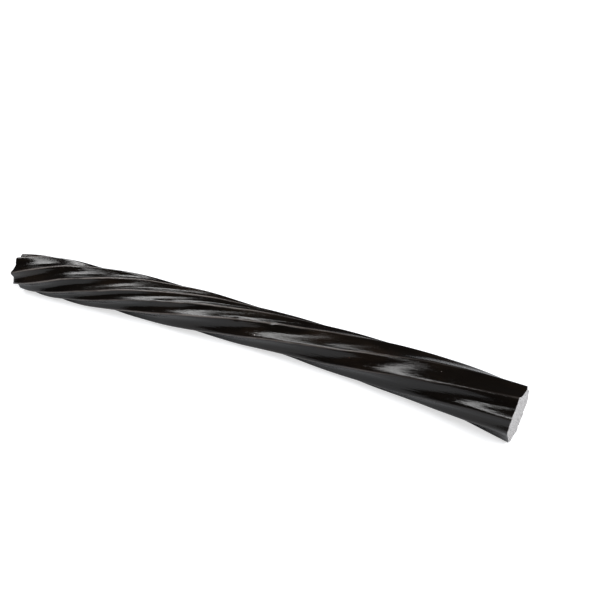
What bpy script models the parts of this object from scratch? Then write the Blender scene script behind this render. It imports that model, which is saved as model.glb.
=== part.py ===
# Black licorice twist: one solid rope of soft candy with nine ridges wound round it to the left, cut square
# at both ends. It lies along X, thin end at -X, on a slightly flattened underside. Metres, +Z up.
import math
import random

import bpy
import bmesh
from mathutils import Matrix, Vector

mm = 0.001

# Length along the middle of the rope
length = 170 * mm
# Radius over the ridges, at distances given as fractions of the length from the thin end
girth = (
    (0.00, 6.00 * mm),
    (0.05, 6.70 * mm),
    (0.14, 7.15 * mm),
    (0.35, 7.05 * mm),
    (0.61, 6.30 * mm),
    (1.00, 7.95 * mm),
)
# The rope turns towards -Y by this much, mostly in its second half
bend = math.radians(16)
bend_power = 2.4
# Angles from each ridge to the next, and the first ridge's angle at the thin end, up from the -Y side
ridge_gaps = (58, 42, 36, 27, 33, 48, 45, 43, 28)
first_ridge = math.radians(79.8)
# The even winding over the whole length, and the extra winding close to the thin end
even_twist = math.radians(235)
extra_twist = math.radians(46)
extra_reach = 0.15
# Hollow of a flute that is this many degrees wide, as a share of the radius, and how round the ridges' crests
# are, both at fractions of the length from the thin end
flute_width = 40
flute_depth = ((0.0, 0.180), (0.45, 0.125), (1.0, 0.075))
crest_round = ((0.0, 0.30), (0.45, 0.45), (1.0, 0.70))
# The ridges swell and shrink by this share of the radius, over waves of these lengths that start at random
ridge_swell = 0.016
swell_waves = (61 * mm, 27 * mm)
swell_seed = 11
# The soft rope sags over stretches of this length until its lowest ridges are pressed flat by this much
sag_span = 34 * mm
pressed = 0.40 * mm

# Mesh: points across each flute, rings along the rope, and the angle from which an edge is kept sharp
flute_steps = 8
ring_count = 64
sharp_angle = math.radians(60)

licorice_colour = (0.010, 0.007, 0.006, 1.0)
licorice_roughness = 0.25


def clear_scene():
    for item in list(bpy.data.objects):
        bpy.data.objects.remove(item, do_unlink=True)


def smooth_value(stations, place):
    # Cubic curve through the stations, with each inner slope taken from its two neighbours
    places = [station[0] for station in stations]
    values = [station[1] for station in stations]
    last = len(stations) - 1
    slopes = []
    for i in range(len(stations)):
        low = max(i - 1, 0)
        high = min(i + 1, last)
        slopes.append((values[high] - values[low]) / (places[high] - places[low]))
    i = 0
    while i < last - 1 and place > places[i + 1]:
        i += 1
    span = places[i + 1] - places[i]
    w = (place - places[i]) / span
    start = values[i] * (2 * w**3 - 3 * w**2 + 1) + slopes[i] * span * (w**3 - 2 * w**2 + w)
    end = values[i + 1] * (3 * w**2 - 2 * w**3) + slopes[i + 1] * span * (w**3 - w**2)
    return start + end


def winding(place):
    return even_twist * place + extra_twist * (1 - math.exp(-place / extra_reach))


def middle_line():
    # Points and headings along the rope's middle, turned so that its two ends lie along X
    step = length / (ring_count - 1)
    headings = [-bend * (i / (ring_count - 1)) ** bend_power for i in range(ring_count)]
    points = [Vector((0, 0, 0))]
    for before, after in zip(headings, headings[1:]):
        heading = (before + after) / 2
        points.append(points[-1] + Vector((math.cos(heading), math.sin(heading), 0)) * step)
    chord = math.atan2(points[-1].y, points[-1].x)
    level = Matrix.Rotation(-chord, 3, "Z")
    return [level @ point for point in points], [heading - chord for heading in headings]


def ridge_waves():
    # Each ridge gets its own starting points on the two swelling waves
    draw = random.Random(swell_seed)
    return [[draw.uniform(0, 2 * math.pi) for wave in swell_waves] for gap in ridge_gaps]


def ridge_height(offsets, distance):
    swell = sum(math.sin(2 * math.pi * distance / wave + offset) for wave, offset in zip(swell_waves, offsets))
    return 1 - ridge_swell + ridge_swell * swell / len(swell_waves)


def flute_hollow(across, gap, place):
    # 0 on the ridges at both sides, deepest half way across, with the crests rounded
    bowl = 4 * across * (1 - across)
    roundness = smooth_value(crest_round, place)
    rounded = math.hypot(bowl, roundness) - roundness
    deepest = math.hypot(1, roundness) - roundness
    return smooth_value(flute_depth, place) * (gap / flute_width) * rounded / deepest


def section(place, waves):
    # Angle and distance from the middle, for every point round the rope
    distance = place * length
    radius = smooth_value(girth, place)
    angle = first_ridge + winding(place)
    outline = []
    for ridge, gap in enumerate(ridge_gaps):
        here = ridge_height(waves[ridge], distance)
        following = ridge_height(waves[(ridge + 1) % len(waves)], distance)
        for step in range(flute_steps):
            across = step / flute_steps
            height = here + (following - here) * across
            reach = radius * (height - flute_hollow(across, gap, place))
            outline.append((angle - math.radians(gap) * across, reach))
        angle -= math.radians(gap)
    return outline


def resting_heights(outlines):
    # Height of the rope's middle over the floor at each ring, evened out along the sagging stretches
    lowest = [max(-reach * math.sin(angle) for angle, reach in outline) for outline in outlines]
    near = round(sag_span / 2 / (length / (ring_count - 1)))
    heights = []
    for i in range(ring_count):
        stretch = lowest[max(i - near, 0) : i + near + 1]
        heights.append(sum(stretch) / len(stretch) - pressed)
    return heights


def build_rope():
    waves = ridge_waves()
    points, headings = middle_line()
    outlines = [section(i / (ring_count - 1), waves) for i in range(ring_count)]
    mesh = bmesh.new()
    rings = []
    hubs = []
    for point, heading, outline, height in zip(points, headings, outlines, resting_heights(outlines)):
        front = Vector((math.sin(heading), -math.cos(heading), 0))
        hub = point + Vector((0, 0, height))
        ring = []
        for angle, reach in outline:
            spot = hub + reach * (math.cos(angle) * front + math.sin(angle) * Vector((0, 0, 1)))
            spot.z = max(spot.z, 0)
            ring.append(mesh.verts.new(spot))
        rings.append(ring)
        hubs.append(hub)

    for ring, following in zip(rings, rings[1:]):
        for j in range(len(ring)):
            k = (j + 1) % len(ring)
            mesh.faces.new((ring[j], ring[k], following[k], following[j]))
    thin_hub = mesh.verts.new(hubs[0])
    wide_hub = mesh.verts.new(hubs[-1])
    for j in range(len(rings[0])):
        k = (j + 1) % len(rings[0])
        mesh.faces.new((thin_hub, rings[0][k], rings[0][j]))
        mesh.faces.new((wide_hub, rings[-1][j], rings[-1][k]))
    bmesh.ops.triangulate(mesh, faces=mesh.faces[:], quad_method="SHORT_EDGE")
    return mesh


def centre_on_floor(mesh):
    # The origin goes under the middle of the rope's box
    for axis in (0, 1):
        values = [vert.co[axis] for vert in mesh.verts]
        middle = (min(values) + max(values)) / 2
        for vert in mesh.verts:
            vert.co[axis] -= middle


def licorice_material():
    material = bpy.data.materials.new("licorice")
    material.use_nodes = True
    shader = material.node_tree.nodes["Principled BSDF"]
    shader.inputs["Base Color"].default_value = licorice_colour
    shader.inputs["Roughness"].default_value = licorice_roughness
    return material


def add_twist():
    rope = build_rope()
    centre_on_floor(rope)
    mesh = bpy.data.meshes.new("licorice_twist")
    rope.to_mesh(mesh)
    rope.free()
    mesh.shade_smooth()
    mesh.set_sharp_from_angle(angle=sharp_angle)
    mesh.materials.append(licorice_material())
    twist = bpy.data.objects.new("licorice_twist", mesh)
    bpy.context.collection.objects.link(twist)


clear_scene()
add_twist()
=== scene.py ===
# Black licorice twist lying on a pale table, lit by soft lights from the left, from behind and from the right
import math
import random

import bpy
import numpy as np
from mathutils import Matrix, Vector


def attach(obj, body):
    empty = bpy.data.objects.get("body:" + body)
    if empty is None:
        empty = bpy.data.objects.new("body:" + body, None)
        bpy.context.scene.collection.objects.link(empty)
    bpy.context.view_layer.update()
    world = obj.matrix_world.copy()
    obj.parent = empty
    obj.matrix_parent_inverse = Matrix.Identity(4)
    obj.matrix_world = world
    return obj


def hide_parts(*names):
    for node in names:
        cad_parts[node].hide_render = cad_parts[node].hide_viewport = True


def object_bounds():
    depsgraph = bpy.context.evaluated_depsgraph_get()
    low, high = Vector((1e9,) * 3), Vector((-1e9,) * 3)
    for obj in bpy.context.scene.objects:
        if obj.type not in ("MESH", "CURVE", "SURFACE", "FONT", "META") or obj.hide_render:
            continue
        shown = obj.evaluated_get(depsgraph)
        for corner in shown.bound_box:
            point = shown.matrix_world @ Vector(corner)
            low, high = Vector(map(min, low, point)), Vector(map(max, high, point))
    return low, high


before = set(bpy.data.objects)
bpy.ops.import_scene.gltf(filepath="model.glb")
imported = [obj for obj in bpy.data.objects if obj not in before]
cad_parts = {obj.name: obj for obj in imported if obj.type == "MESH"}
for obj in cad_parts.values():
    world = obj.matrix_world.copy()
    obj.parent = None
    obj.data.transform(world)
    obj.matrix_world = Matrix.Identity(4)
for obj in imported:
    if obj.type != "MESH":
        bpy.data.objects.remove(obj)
cadLow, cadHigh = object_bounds()
mm = 0.001
print("frame loaded, box in mm:", [round(size / mm, 1) for size in cadHigh - cadLow])

# The rope, in the same sizes as its CAD solid, with a finer mesh and the small marks of the real candy
twist = {
    "length": 170 * mm,  # along the middle
    # radius over the ridges, at fractions of the length from the thin end
    "girth": (
        (0.00, 6.00 * mm),
        (0.05, 6.70 * mm),
        (0.14, 7.15 * mm),
        (0.35, 7.05 * mm),
        (0.61, 6.30 * mm),
        (1.00, 7.95 * mm),
    ),
    "bend": math.radians(16),
    "bendPower": 2.4,
    "ridgeGaps": (58, 42, 36, 27, 33, 48, 45, 43, 28),  # degrees from each ridge to the next
    "firstRidge": math.radians(79.8),
    "evenTwist": math.radians(235),
    "extraTwist": math.radians(46),
    "extraReach": 0.15,
    # depth of a flute 40 degrees wide, as a share of the radius, and how round the crests are
    "fluteDepth": ((0.0, 0.180), (0.45, 0.125), (1.0, 0.075)),
    "fluteWidth": 40,
    "crestRound": ((0.0, 0.30), (0.45, 0.45), (1.0, 0.70)),
    "ridgeSwell": 0.016,
    "swellWaves": (61 * mm, 27 * mm),
    "sagSpan": 34 * mm,
    "pressed": 0.40 * mm,
    "swellSeed": 11,
    # mesh
    "fluteSteps": 28,
    "ringCount": 344,
    "faceRings": 14,  # across each cut face
    "sharpAngle": math.radians(50),
}

# The ridges wander a little sideways, each in its own way
wander = {"angle": math.radians(0.9), "waves": (37 * mm, 16 * mm), "seed": 5}

# Marks in the skin, each with its fraction of the length, ridge number, depth, half length and half width;
# ridge numbers between two whole ones lie in the flute, and a negative depth makes the candy fuller
nicks = (
    (0.502, 5.02, 0.26 * mm, 0.9 * mm, 0.40 * mm),
    (0.567, 5.02, 0.24 * mm, 1.2 * mm, 0.40 * mm),
    (0.330, 4.03, 0.14 * mm, 0.9 * mm, 0.45 * mm),
    (0.215, 2.02, 0.12 * mm, 0.9 * mm, 0.40 * mm),
    (0.720, 1.01, 0.20 * mm, 1.1 * mm, 0.45 * mm),
    (0.430, 0.02, 0.22 * mm, 1.0 * mm, 0.45 * mm),
    # wide soft ones: one flute is hollower at the wide end, the flute above it is fuller before that
    (1.00, 7.50, 0.40 * mm, 16.0 * mm, 1.8 * mm),
    (0.77, 6.50, -0.18 * mm, 15.0 * mm, 1.8 * mm),
)
# Long shallow swellings and hollows of the soft skin, placed at random
lumps = {
    "count": 110,
    "height": (-0.045 * mm, 0.030 * mm),
    "halfLength": (3.0 * mm, 8.0 * mm),
    "halfWidth": (0.7 * mm, 1.7 * mm),
    "seed": 23,
}
# The knife left each end slightly hollow and wavy, with a narrow soft lip
cut = {
    "lip": 0.12 * mm,
    "waves": ((3, 0.10 * mm, 0.4), (5, 0.09 * mm, 2.1), (11, 0.08 * mm, 4.0), (19, 0.05 * mm, 1.3)),
    "reach": 1.6 * mm,
    # it leaned over at the wide end, so that the far side is a little shorter than the near one
    "slants": (0, math.radians(5)),
    "slantReach": 12 * mm,
    # and there it left a scrap of skin between two ridges, which stands out past the face
    "scraps": (None, {"from": 5.85, "to": 7.0, "rise": 0.35, "drop": 0.10, "out": 0.55 * mm}),
    "hollow": 0.28 * mm,
    "rimShares": (0.98, 0.94),  # of the outline's size, for the first two rings inside it
    "grain": 0.022 * mm,
    "grainWaves": 7,
    "grainWave": (0.9 * mm, 2.6 * mm),
    "grainStart": (0, 6),
    "seeds": (31, 32),
}


def smoothValues(stations, places):
    # cubic curve through the stations, each inner slope taken from the two neighbours
    at = np.array([station[0] for station in stations])
    values = np.array([station[1] for station in stations])
    low = np.maximum(np.arange(len(at)) - 1, 0)
    high = np.minimum(np.arange(len(at)) + 1, len(at) - 1)
    slopes = (values[high] - values[low]) / (at[high] - at[low])
    i = np.clip(np.searchsorted(at, places, side="left") - 1, 0, len(at) - 2)
    span = at[i + 1] - at[i]
    w = (places - at[i]) / span
    start = values[i] * (2 * w**3 - 3 * w**2 + 1) + slopes[i] * span * (w**3 - 2 * w**2 + w)
    end = values[i + 1] * (3 * w**2 - 2 * w**3) + slopes[i + 1] * span * (w**3 - w**2)
    return start + end


def middleLine(places):
    # points and headings along the rope's middle, its two ends on one line along X
    headings = -twist["bend"] * places ** twist["bendPower"]
    step = twist["length"] / (len(places) - 1)
    turn = (headings[1:] + headings[:-1]) / 2
    x = np.concatenate([[0], np.cumsum(np.cos(turn) * step)])
    y = np.concatenate([[0], np.cumsum(np.sin(turn) * step)])
    chord = math.atan2(y[-1], x[-1])
    level = np.exp(-1j * chord) * (x + 1j * y)
    return level.real, level.imag, headings - chord


def ridgeHeights(distances):
    draw = random.Random(twist["swellSeed"])
    columns = []
    for gap in twist["ridgeGaps"]:
        swell = 0
        for wave in twist["swellWaves"]:
            swell = swell + np.sin(2 * np.pi * distances / wave + draw.uniform(0, 2 * math.pi))
        columns.append(1 - twist["ridgeSwell"] + twist["ridgeSwell"] * swell / len(twist["swellWaves"]))
    return np.stack(columns, 1)


def ridgeWander(distances):
    draw = random.Random(wander["seed"])
    columns = []
    for gap in twist["ridgeGaps"]:
        sway = 0
        for wave in wander["waves"]:
            sway = sway + np.sin(2 * np.pi * distances / wave + draw.uniform(0, 2 * math.pi))
        columns.append(wander["angle"] * sway / len(wander["waves"]))
    return np.stack(columns, 1)


def roundRope(places):
    # angle and reach of every skin point, and its angle on the rope before it was wound
    gaps = np.array(twist["ridgeGaps"], float)
    steps = twist["fluteSteps"]
    ridge = np.repeat(np.arange(len(gaps)), steps)
    across = np.tile(np.arange(steps) / steps, len(gaps))
    before = np.concatenate([[0], np.cumsum(gaps)[:-1]])[ridge]
    unwound = np.radians(before + gaps[ridge] * across)
    along = places[:, None]
    winding = twist["evenTwist"] * along + twist["extraTwist"] * (1 - np.exp(-along / twist["extraReach"]))
    nextRidge = (ridge + 1) % len(gaps)
    sway = ridgeWander(places * twist["length"])
    angle = twist["firstRidge"] + winding - unwound
    angle = angle + sway[:, ridge] * (1 - across) + sway[:, nextRidge] * across
    heights = ridgeHeights(places * twist["length"])
    here = heights[:, ridge]
    following = heights[:, nextRidge]
    roundness = smoothValues(twist["crestRound"], places)[:, None]
    depth = smoothValues(twist["fluteDepth"], places)[:, None]
    bowl = 4 * across * (1 - across)
    rounded = (np.hypot(bowl, roundness) - roundness) / (np.hypot(1, roundness) - roundness)
    hollow = depth * (gaps[ridge] / twist["fluteWidth"]) * rounded
    radius = smoothValues(twist["girth"], places)[:, None]
    reach = radius * (here + (following - here) * across - hollow)
    return angle, reach, unwound, ridge + across


def restingHeights(angle, reach):
    lowest = (-reach * np.sin(angle)).max(1)
    near = round(twist["sagSpan"] / 2 / (twist["length"] / (twist["ringCount"] - 1)))
    heights = [lowest[max(i - near, 0) : i + near + 1].mean() for i in range(len(lowest))]
    return np.array(heights) - twist["pressed"]


def addMarks(reach, places, ridgeNumber):
    distance = (places * twist["length"])[:, None]
    gaps = np.radians(np.array(twist["ridgeGaps"], float))
    starts = np.concatenate([[0], np.cumsum(gaps)])

    def sideways(number):
        whole = np.floor(number).astype(int) % len(gaps)
        return starts[whole] + gaps[whole] * (number % 1)

    draw = random.Random(lumps["seed"])
    marks = [(place, number, -deep, half, wide) for place, number, deep, half, wide in nicks]
    for i in range(lumps["count"]):
        high = draw.uniform(*lumps["height"])
        half = draw.uniform(*lumps["halfLength"])
        place = draw.random()
        number = draw.uniform(0, len(gaps))
        marks.append((place, number, high, half, draw.uniform(*lumps["halfWidth"])))
    here = sideways(ridgeNumber)
    for place, number, high, halfLength, halfWidth in marks:
        away = np.abs(here - sideways(np.array(number)))
        away = np.minimum(away, 2 * np.pi - away)
        side = away[None, :] * reach / halfWidth
        forward = (distance - place * twist["length"]) / halfLength
        reach = reach + high * np.exp(-(side**2) - forward**2)
    return reach


def cutWaves(unwound):
    # how far the knife went into the rope at each point round it
    return sum(size * (1 + np.sin(count * unwound + start)) / 2 for count, size, start in cut["waves"])


def scrapHeight(ridgeNumber, scrap):
    if scrap is None:
        return 0
    rise = np.clip((ridgeNumber - scrap["from"]) / scrap["rise"], 0, 1)
    drop = np.clip((scrap["to"] - ridgeNumber) / scrap["drop"], 0, 1)
    return scrap["out"] * rise * drop


def ropeSkin():
    places = np.linspace(0, 1, twist["ringCount"])
    x, y, heading = middleLine(places)
    angle, reach, unwound, ridgeNumber = roundRope(places)
    height = restingHeights(angle, reach)
    reach = addMarks(reach, places, ridgeNumber)
    out = reach * np.cos(angle)
    skin = np.stack(
        [
            x[:, None] + out * np.sin(heading)[:, None],
            y[:, None] - out * np.cos(heading)[:, None],
            np.maximum(height[:, None] + reach * np.sin(angle), 0),
        ],
        2,
    )
    middle = np.stack([x, y, height], 1)
    distance = places * twist["length"]
    # each point's place on the rope as if it were straight and not wound
    straight = np.stack(
        [
            reach * np.cos(unwound)[None, :],
            reach * np.sin(unwound)[None, :],
            np.broadcast_to(distance[:, None], reach.shape),
        ],
        2,
    )
    # each end is drawn in where the knife went deeper, and its flat outline is kept for the cut face
    ends = []
    for ring, side, slant, scrap in zip((0, -1), (1, -1), cut["slants"], cut["scraps"]):
        inward = np.array([math.cos(heading[ring]), math.sin(heading[ring]), 0]) * side
        lean = math.tan(slant)
        ends.append(
            {
                "outline": skin[ring].copy(),
                "hub": middle[ring],
                "inward": inward,
                "front": out[ring],
                "lean": lean,
                "straight": straight[ring],
            }
        )
        fromEnd = np.abs(distance - distance[ring])
        edge = cutWaves(unwound) + cut["lip"] - scrapHeight(ridgeNumber, scrap)
        deep = np.clip(1 - fromEnd / cut["reach"], 0, 1)[:, None] ** 2 * edge
        slanted = -lean * out[ring]
        deep = deep + np.clip(1 - fromEnd / cut["slantReach"], 0, 1)[:, None] ** 2 * slanted
        skin += deep[:, :, None] * inward
    # how far each point is from the nearest crest, round the rope
    gaps = np.radians(np.array(twist["ridgeGaps"], float))[np.floor(ridgeNumber).astype(int)]
    fromCrest = np.abs((ridgeNumber + 0.5) % 1 - 0.5) * gaps * reach
    return skin, straight, fromCrest, ends, unwound


def cutFace(end, unwound, seed):
    # rings that shrink from just inside the lip to the hub, with the knife's waves, a hollow and some grain
    draw = random.Random(seed)
    grain = []
    for i in range(cut["grainWaves"]):
        turn = draw.uniform(0, math.pi)
        grain.append((turn, draw.uniform(*cut["grainWave"]), draw.uniform(*cut["grainStart"])))
    waves = cutWaves(unwound)
    rings = []
    straight = []
    outer, inner = cut["rimShares"]
    for share in [outer] + list(np.linspace(inner, 0, twist["faceRings"])):
        flat = end["straight"] * np.array([share, share, 1])
        deep = waves * share**3 + waves.mean() * (1 - share**3) + cut["hollow"] * (1 - share**2)
        for turn, wave, start in grain:
            across = flat[:, 0] * math.cos(turn) + flat[:, 1] * math.sin(turn)
            deep = deep + cut["grain"] * np.sin(2 * np.pi * across / wave + start)
        deep = np.maximum(deep, 0) - end["lean"] * end["front"] * share
        rings.append(end["hub"] + (end["outline"] - end["hub"]) * share + deep[:, None] * end["inward"])
        straight.append(flat)
    return np.array(rings), np.array(straight)


def buildTwist():
    skin, straight, fromCrest, ends, unwound = ropeSkin()
    around = skin.shape[1]
    points = [skin.reshape(-1, 3)]
    places = [straight.reshape(-1, 3)]
    faces = []
    looks = []  # material of each face: 0 the skin, 1 the cut

    def joinRings(first, second, look):
        for j in range(around):
            k = (j + 1) % around
            faces.append((first + j, first + k, second + k, second + j))
            looks.append(look)

    for i in range(len(skin) - 1):
        joinRings(i * around, (i + 1) * around, 0)
    count = len(skin) * around
    # the last ring of each face stands at the hub, so it is one point
    for end, rim, seed in zip(ends, (0, (len(skin) - 1) * around), cut["seeds"]):
        rings, straightRings = cutFace(end, unwound, seed)
        last = rim
        for i in range(len(rings) - 1):
            first = count + i * around
            if rim == 0:
                joinRings(first, last, 1)
            else:
                joinRings(last, first, 1)
            last = first
        hub = count + (len(rings) - 1) * around
        for j in range(around):
            k = (j + 1) % around
            faces.append((hub, last + k, last + j) if rim == 0 else (hub, last + j, last + k))
            looks.append(1)
        points += [rings[:-1].reshape(-1, 3), rings[-1][:1]]
        places += [straightRings[:-1].reshape(-1, 3), straightRings[-1][:1]]
        count = hub + 1

    points = np.concatenate(points)
    places = np.concatenate(places)
    # the same centring as the solid's, whose ends aren't drawn in
    flat = np.concatenate([skin.reshape(-1, 3)] + [end["outline"] for end in ends])
    points[:, :2] -= (flat[:, :2].min(0) + flat[:, :2].max(0)) / 2
    points = np.clip(points, np.array(cadLow), np.array(cadHigh))

    mesh = bpy.data.meshes.new("licoriceTwist")
    mesh.from_pydata(points.tolist(), [], faces)
    mesh.polygons.foreach_set("material_index", looks)
    mesh.shade_smooth()
    mesh.set_sharp_from_angle(angle=twist["sharpAngle"])
    attribute = mesh.attributes.new("ropePlace", "FLOAT_VECTOR", "POINT")
    attribute.data.foreach_set("vector", places.ravel())
    attribute = mesh.attributes.new("fromCrest", "FLOAT", "POINT")
    attribute.data.foreach_set("value", np.pad(fromCrest.ravel(), (0, len(points) - fromCrest.size)))
    piece = bpy.data.objects.new("licoriceTwist", mesh)
    bpy.context.collection.objects.link(piece)
    return piece


# Shader helpers
def addNode(tree, kind, place, **values):
    node = tree.nodes.new(kind)
    node.location = place
    for name, value in values.items():
        setattr(node, name, value)
    return node


grainNoise = {"detail": 4, "roughness": 0.6, "span": (0.3, 0.7)}  # span: where nearly all its values lie
raggedness = (0.6, 1.4)  # how much the grain shrinks and widens a speck


def candyGrainGroup():
    # fine grain for the skin and the cut faces: stretched along the rope or even in every direction
    group = bpy.data.node_groups.new("candyGrain", "ShaderNodeTree")
    group.interface.new_socket(name="Place", in_out="INPUT", socket_type="NodeSocketVector")
    group.interface.new_socket(name="Scale", in_out="INPUT", socket_type="NodeSocketFloat")
    group.interface.new_socket(name="Stretch", in_out="INPUT", socket_type="NodeSocketFloat")
    group.interface.new_socket(name="Grain", in_out="OUTPUT", socket_type="NodeSocketFloat")
    inside = addNode(group, "NodeGroupInput", (-800, 0))
    outside = addNode(group, "NodeGroupOutput", (300, 0))
    squeeze = addNode(group, "ShaderNodeCombineXYZ", (-600, -120))
    squeeze.inputs["X"].default_value = 1
    squeeze.inputs["Y"].default_value = 1
    group.links.new(inside.outputs["Stretch"], squeeze.inputs["Z"])
    stretched = addNode(group, "ShaderNodeVectorMath", (-400, 0), operation="MULTIPLY")
    group.links.new(inside.outputs["Place"], stretched.inputs[0])
    group.links.new(squeeze.outputs["Vector"], stretched.inputs[1])
    noise = addNode(group, "ShaderNodeTexNoise", (-200, 0))
    noise.inputs["Detail"].default_value = grainNoise["detail"]
    noise.inputs["Roughness"].default_value = grainNoise["roughness"]
    group.links.new(stretched.outputs["Vector"], noise.inputs["Vector"])
    group.links.new(inside.outputs["Scale"], noise.inputs["Scale"])
    group.links.new(noise.outputs["Fac"], outside.inputs["Grain"])
    return group


candyGrain = candyGrainGroup()


def placeGrain(tree, source, place, scale, stretch):
    node = addNode(tree, "ShaderNodeGroup", place, node_tree=candyGrain)
    node.inputs["Scale"].default_value = scale
    node.inputs["Stretch"].default_value = stretch
    tree.links.new(source, node.inputs["Place"])
    return node.outputs["Grain"]


def placeRamp(tree, source, place, low, high, start, end):
    # turns low to high into start to end
    ramp = addNode(tree, "ShaderNodeMapRange", place)
    ramp.inputs["From Min"].default_value = low
    ramp.inputs["From Max"].default_value = high
    ramp.inputs["To Min"].default_value = start
    ramp.inputs["To Max"].default_value = end
    tree.links.new(source, ramp.inputs["Value"])
    return ramp.outputs["Result"]


def placeColours(tree, source, place, stops):
    ramp = addNode(tree, "ShaderNodeValToRGB", place)
    bar = ramp.color_ramp
    while len(bar.elements) < len(stops):
        bar.elements.new(1)
    for element, (position, colour) in zip(bar.elements, stops):
        element.position = position
        element.color = (*colour, 1)
    tree.links.new(source, ramp.inputs["Fac"])
    return ramp.outputs["Color"]


fleckEdge = (0.45, 0.75)  # shares of a speck's size between which it fades out


def fleckGroup():
    # a small irregular spot at one place on the rope
    group = bpy.data.node_groups.new("fleck", "ShaderNodeTree")
    group.interface.new_socket(name="Place", in_out="INPUT", socket_type="NodeSocketVector")
    group.interface.new_socket(name="Centre", in_out="INPUT", socket_type="NodeSocketVector")
    group.interface.new_socket(name="Size", in_out="INPUT", socket_type="NodeSocketFloat")
    group.interface.new_socket(name="Ragged", in_out="INPUT", socket_type="NodeSocketFloat")
    group.interface.new_socket(name="Mask", in_out="OUTPUT", socket_type="NodeSocketFloat")
    inside = addNode(group, "NodeGroupInput", (-700, 0))
    outside = addNode(group, "NodeGroupOutput", (400, 0))
    away = addNode(group, "ShaderNodeVectorMath", (-450, 100), operation="DISTANCE")
    group.links.new(inside.outputs["Place"], away.inputs[0])
    group.links.new(inside.outputs["Centre"], away.inputs[1])
    limit = addNode(group, "ShaderNodeMath", (-200, -100), operation="MULTIPLY")
    group.links.new(inside.outputs["Size"], limit.inputs[0])
    group.links.new(inside.outputs["Ragged"], limit.inputs[1])
    edge = addNode(group, "ShaderNodeMath", (0, 0), operation="DIVIDE")
    group.links.new(away.outputs["Value"], edge.inputs[0])
    group.links.new(limit.outputs["Value"], edge.inputs[1])
    mask = addNode(group, "ShaderNodeMapRange", (200, 0))
    mask.inputs["From Min"].default_value, mask.inputs["From Max"].default_value = fleckEdge
    mask.inputs["To Min"].default_value = 1
    mask.inputs["To Max"].default_value = 0
    group.links.new(edge.outputs["Value"], mask.inputs["Value"])
    group.links.new(mask.outputs["Result"], outside.inputs["Mask"])
    return group


fleck = fleckGroup()

skinLook = {
    "ior": 1.46,
    "colours": (
        (0.30, (0.0018, 0.0013, 0.0010)),
        (0.50, (0.0034, 0.0025, 0.0018)),
        (0.72, (0.0090, 0.0058, 0.0036)),
    ),
    "tintScale": 150,
    "tintStretch": 0.35,
    "roughness": (0.06, 0.16),
    "patchScale": 260,
    "patchStretch": 0.3,
    "streakScale": 1500,
    "streakStretch": 0.07,
    "streakBump": 0.070 * mm,
    "grainScale": 4200,
    "grainStretch": 0.16,
    "grainBump": 0.020 * mm,
    # the crests are made a little rougher, and painted paler as a painted highlight along each crest line,
    # mostly where the rope is wound tight
    "crestReach": (0.08 * mm, 0.36 * mm),
    "crestFade": (0.42, 0.90),  # fractions of the length
    "crestLeft": 0.16,
    "crestGaps": (0.35, 0.60),  # patches that break the crest lines up, and what they leave
    "crestGapLeft": 0.25,
    "crestHighlightColour": (0.125, 0.110, 0.102),
    "crestRoughness": 0.36,
}

# Specks stuck to the candy: fraction of the length, ridge number, share of the radius, size
specks = {
    "paleSkin": (
        (0.984, 7.50, 1, 0.32 * mm),
        (0.542, 5.83, 1, 0.26 * mm),
        (0.875, 6.41, 1, 0.18 * mm),
        (0.360, 1.45, 1, 0.22 * mm),
    ),
    "reddishSkin": (
        (0.722, 6.38, 1, 0.34 * mm),
        (0.585, 6.05, 1, 0.30 * mm),
        (0.240, 2.60, 1, 0.25 * mm),
        (0.660, 0.55, 1, 0.30 * mm),
    ),
    "reddishCut": (
        (1, 0.92, 0.84, 0.80 * mm),
        (1, 0.55, 0.90, 0.60 * mm),
        (1, 6.30, 0.45, 0.40 * mm),
        (0, 4.60, 0.60, 0.40 * mm),
    ),
    "paleColour": (0.240, 0.215, 0.200),
    "reddishColour": (0.050, 0.022, 0.016),
}


def speckPlace(share, number, inner):
    # the place of a speck on the straight, unwound rope
    places = np.linspace(0, 1, twist["ringCount"])
    angle, reach, unwound, numbers = roundRope(places)
    ring = np.argmin(np.abs(places - share))
    column = np.argmin(np.abs(numbers - number))
    out = reach[ring, column] * inner
    turn = unwound[column]
    return out * math.cos(turn), out * math.sin(turn), share * twist["length"]


def placeSpecks(tree, where, ragged, kind, place):
    # all specks of one kind as one mask
    mask = None
    for i, (share, number, inner, size) in enumerate(specks[kind]):
        node = addNode(tree, "ShaderNodeGroup", (place[0], place[1] - i * 180), node_tree=fleck)
        node.inputs["Centre"].default_value = speckPlace(share, number, inner)
        node.inputs["Size"].default_value = size
        tree.links.new(where, node.inputs["Place"])
        tree.links.new(ragged, node.inputs["Ragged"])
        if mask is None:
            mask = node.outputs["Mask"]
        else:
            most = addNode(tree, "ShaderNodeMath", (place[0] + 200, place[1] - i * 180), operation="MAXIMUM")
            tree.links.new(mask, most.inputs[0])
            tree.links.new(node.outputs["Mask"], most.inputs[1])
            mask = most.outputs["Value"]
    return mask


def mixColours(tree, share, first, second, place):
    # a Mix node's sockets 6 and 7 take the colours, and 2 and 3 take the plain values
    mix = addNode(tree, "ShaderNodeMix", place, data_type="RGBA")
    tree.links.new(share, mix.inputs[0])
    tree.links.new(first, mix.inputs[6])
    mix.inputs[7].default_value = (*second, 1)
    return mix.outputs[2]


def mixValues(tree, share, first, second, place):
    mix = addNode(tree, "ShaderNodeMix", place, data_type="FLOAT")
    tree.links.new(share, mix.inputs[0])
    tree.links.new(first, mix.inputs[2])
    mix.inputs[3].default_value = second
    return mix.outputs[0]


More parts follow.
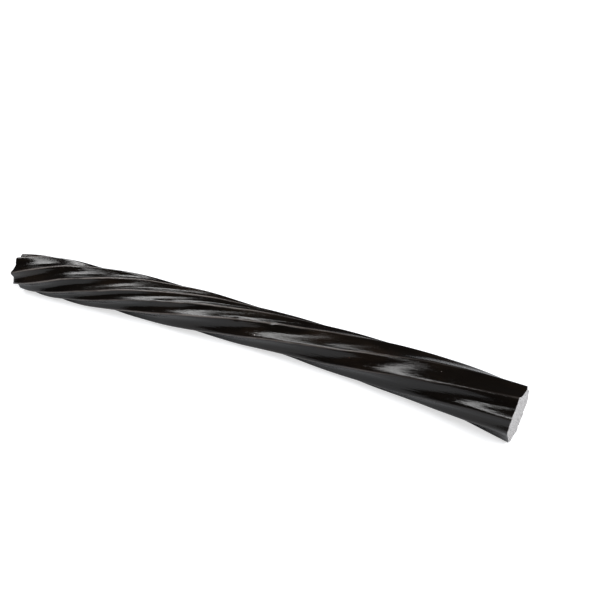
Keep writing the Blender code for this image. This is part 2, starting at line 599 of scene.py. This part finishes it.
def licoriceSkin():
    material = bpy.data.materials.new("licoriceSkin")
    material.use_nodes = True
    tree = material.node_tree
    shader = tree.nodes["Principled BSDF"]
    look = skinLook
    shader.inputs["IOR"].default_value = look["ior"]
    rope = addNode(tree, "ShaderNodeAttribute", (-2000, 0), attribute_name="ropePlace")
    where = rope.outputs["Vector"]
    tint = placeGrain(tree, where, (-1700, 400), look["tintScale"], look["tintStretch"])
    patch = placeGrain(tree, where, (-1700, 200), look["patchScale"], look["patchStretch"])
    streak = placeGrain(tree, where, (-1700, 0), look["streakScale"], look["streakStretch"])
    grain = placeGrain(tree, where, (-1700, -200), look["grainScale"], look["grainStretch"])

    # crest lines with a painted highlight and a rougher skin, broken up by the patches and fading towards the
    # wide end
    ridge = addNode(tree, "ShaderNodeAttribute", (-1700, -450), attribute_name="fromCrest")
    crest = placeRamp(tree, ridge.outputs["Fac"], (-1450, -450), *look["crestReach"], 1, 0)
    broken = addNode(tree, "ShaderNodeMath", (-1200, -450), operation="MULTIPLY")
    tree.links.new(crest, broken.inputs[0])
    gaps = placeRamp(tree, patch, (-1450, -250), *look["crestGaps"], look["crestGapLeft"], 1)
    tree.links.new(gaps, broken.inputs[1])
    split = addNode(tree, "ShaderNodeSeparateXYZ", (-1700, -620))
    tree.links.new(where, split.inputs["Vector"])
    fade = [share * twist["length"] for share in look["crestFade"]]
    kept = addNode(tree, "ShaderNodeMath", (-1000, -450), operation="MULTIPLY")
    tree.links.new(broken.outputs["Value"], kept.inputs[0])
    faded = placeRamp(tree, split.outputs["Z"], (-1450, -620), *fade, 1, look["crestLeft"])
    tree.links.new(faded, kept.inputs[1])
    crest = kept.outputs["Value"]

    colour = placeColours(tree, tint, (-1400, 400), look["colours"])
    # the crest lines are painted paler here: a painted highlight
    colour = mixColours(tree, crest, colour, look["crestHighlightColour"], (-950, 400))
    ragged = placeRamp(tree, grain, (-1450, -700), *grainNoise["span"], *raggedness)
    pale = placeSpecks(tree, where, ragged, "paleSkin", (-1200, -700))
    colour = mixColours(tree, pale, colour, specks["paleColour"], (-700, 400))
    reddish = placeSpecks(tree, where, ragged, "reddishSkin", (-1200, -1600))
    colour = mixColours(tree, reddish, colour, specks["reddishColour"], (-500, 400))
    tree.links.new(colour, shader.inputs["Base Color"])

    rough = placeRamp(tree, patch, (-950, 100), *grainNoise["span"], *look["roughness"])
    rough = mixValues(tree, crest, rough, look["crestRoughness"], (-700, 100))
    tree.links.new(rough, shader.inputs["Roughness"])

    lines = addNode(tree, "ShaderNodeBump", (-500, -250))
    lines.inputs["Distance"].default_value = look["streakBump"]
    tree.links.new(streak, lines.inputs["Height"])
    fine = addNode(tree, "ShaderNodeBump", (-300, -350))
    fine.inputs["Distance"].default_value = look["grainBump"]
    tree.links.new(grain, fine.inputs["Height"])
    tree.links.new(lines.outputs["Normal"], fine.inputs["Normal"])
    tree.links.new(fine.outputs["Normal"], shader.inputs["Normal"])
    return material


cutLook = {
    "ior": 1.5,
    "colours": (
        (0.34, (0.075, 0.070, 0.069)),
        (0.50, (0.205, 0.196, 0.197)),
        (0.64, (0.420, 0.405, 0.408)),
    ),
    "scale": 1900,
    "fineScale": 5700,
    "roughness": (0.28, 0.45),
    "sheen": 0.5,
    "bump": 0.14 * mm,
}


def cutMaterial():
    material = bpy.data.materials.new("licoriceCut")
    material.use_nodes = True
    tree = material.node_tree
    shader = tree.nodes["Principled BSDF"]
    shader.inputs["IOR"].default_value = cutLook["ior"]
    shader.inputs["Sheen Weight"].default_value = cutLook["sheen"]
    rope = addNode(tree, "ShaderNodeAttribute", (-1000, 0), attribute_name="ropePlace")
    where = rope.outputs["Vector"]
    coarse = placeGrain(tree, where, (-800, 200), cutLook["scale"], 1)
    fine = placeGrain(tree, where, (-800, -100), cutLook["fineScale"], 1)
    colour = placeColours(tree, coarse, (-500, 200), cutLook["colours"])
    ragged = placeRamp(tree, fine, (-800, -400), *grainNoise["span"], *raggedness)
    reddish = placeSpecks(tree, where, ragged, "reddishCut", (-600, -500))
    colour = mixColours(tree, reddish, colour, specks["reddishColour"], (-200, 200))
    tree.links.new(colour, shader.inputs["Base Color"])
    rough = placeRamp(tree, fine, (-500, -50), *grainNoise["span"], *cutLook["roughness"])
    tree.links.new(rough, shader.inputs["Roughness"])
    bump = addNode(tree, "ShaderNodeBump", (-300, -250))
    bump.inputs["Distance"].default_value = cutLook["bump"]
    tree.links.new(fine, bump.inputs["Height"])
    tree.links.new(bump.outputs["Normal"], shader.inputs["Normal"])
    return material


ropePiece = buildTwist()
ropePiece.data.materials.append(licoriceSkin())
ropePiece.data.materials.append(cutMaterial())
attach(ropePiece, "root")
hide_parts("licorice_twist")
print("twist built:", len(ropePiece.data.polygons), "faces")


# Table, lights and camera
# The table glows for the camera alone, so that it shows white and the candy mirrors it less brightly
table = {"size": 6.0, "drop": 0.2 * mm, "colour": (0.50, 0.51, 0.53, 1), "roughness": 0.55, "glow": 0.65}


def buildTable():
    half = table["size"] / 2
    mesh = bpy.data.meshes.new("tableTop")
    corners = [(-half, -half, 0), (half, -half, 0), (half, half, 0), (-half, half, 0)]
    mesh.from_pydata(corners, [], [(0, 1, 2, 3)])
    floor = bpy.data.objects.new("tableTop", mesh)
    floor.location.z = -table["drop"]
    bpy.context.collection.objects.link(floor)
    material = bpy.data.materials.new("paleTable")
    material.use_nodes = True
    shader = material.node_tree.nodes["Principled BSDF"]
    shader.inputs["Base Color"].default_value = table["colour"]
    shader.inputs["Roughness"].default_value = table["roughness"]
    shader.inputs["Emission Color"].default_value = (1, 1, 1, 1)
    rays = addNode(material.node_tree, "ShaderNodeLightPath", (-600, 0))
    glow = addNode(material.node_tree, "ShaderNodeMath", (-300, 0), operation="MULTIPLY")
    glow.inputs[1].default_value = table["glow"]
    material.node_tree.links.new(rays.outputs["Is Camera Ray"], glow.inputs[0])
    material.node_tree.links.new(glow.outputs["Value"], shader.inputs["Emission Strength"])
    mesh.materials.append(material)


# Azimuth counted from +X towards +Y and elevation over the table, in degrees; away and size in metres;
# glow is brightness per area
softLights = {
    "leftSoftLight": {"azimuth": 200, "elevation": 54, "away": 1.3, "size": (1.00, 0.24), "glow": 8.6},
    "backSoftLight": {"azimuth": 134, "elevation": 40, "away": 1.3, "size": (0.30, 0.34), "glow": 7.0},
    "rightSoftLight": {"azimuth": -15, "elevation": 46, "away": 1.5, "size": (1.3, 1.0), "glow": 9.5},
}
roomGlow = (0.03, 0.03, 0.034, 1)  # what the candy mirrors between the lights
roomWall = (0.92, 0.92, 0.93, 1)  # what the camera sees past the table's edge


def addSoftLight(name, values):
    azimuth = math.radians(values["azimuth"])
    elevation = math.radians(values["elevation"])
    flat = math.cos(elevation)
    direction = Vector((flat * math.cos(azimuth), flat * math.sin(azimuth), math.sin(elevation)))
    lamp = bpy.data.lights.new(name, "AREA")
    lamp.shape = "RECTANGLE"
    lamp.size, lamp.size_y = values["size"]
    lamp.energy = values["glow"] * math.pi * lamp.size * lamp.size_y
    light = bpy.data.objects.new(name, lamp)
    light.location = direction * values["away"]
    light.rotation_euler = (-direction).to_track_quat("-Z", "Y").to_euler()
    bpy.context.collection.objects.link(light)


# The camera stands at the photograph's viewing angle; pixels are of the 608 by 608 photograph
photo = {"side": 608, "focalPixels": 707}
lensLook = {"sensorWidth": 36, "nearest": 5 * mm}  # sensor in millimetres, as Blender takes it
view = {"place": (0.09606, -0.14310, 0.13333), "heading": 27.21, "down": 34.70, "roll": -1.34}


def addCamera():
    lens = bpy.data.cameras.new("photoCamera")
    lens.sensor_width = lensLook["sensorWidth"]
    lens.lens = lens.sensor_width * photo["focalPixels"] / photo["side"]
    lens.clip_start = lensLook["nearest"]
    camera = bpy.data.objects.new("photoCamera", lens)
    turn = Matrix.Rotation(math.radians(view["heading"]), 4, "Z")
    tip = Matrix.Rotation(math.radians(90 - view["down"]), 4, "X")
    roll = Matrix.Rotation(math.radians(view["roll"]), 4, "Z")
    camera.matrix_world = Matrix.Translation(view["place"]) @ turn @ tip @ roll
    bpy.context.collection.objects.link(camera)
    bpy.context.scene.camera = camera


def setRoom():
    world = bpy.data.worlds.new("studio")
    world.use_nodes = True
    background = world.node_tree.nodes["Background"]
    rays = addNode(world.node_tree, "ShaderNodeLightPath", (-600, 0))
    mix = addNode(world.node_tree, "ShaderNodeMix", (-300, 0), data_type="RGBA")
    world.node_tree.links.new(rays.outputs["Is Camera Ray"], mix.inputs[0])
    mix.inputs[6].default_value = roomGlow
    mix.inputs[7].default_value = roomWall
    world.node_tree.links.new(mix.outputs[2], background.inputs["Color"])
    bpy.context.scene.world = world
    bpy.context.scene.view_settings.view_transform = "Standard"


buildTable()
for lightName, lightValues in softLights.items():
    addSoftLight(lightName, lightValues)
setRoom()
addCamera()
print("table, lights and camera set")
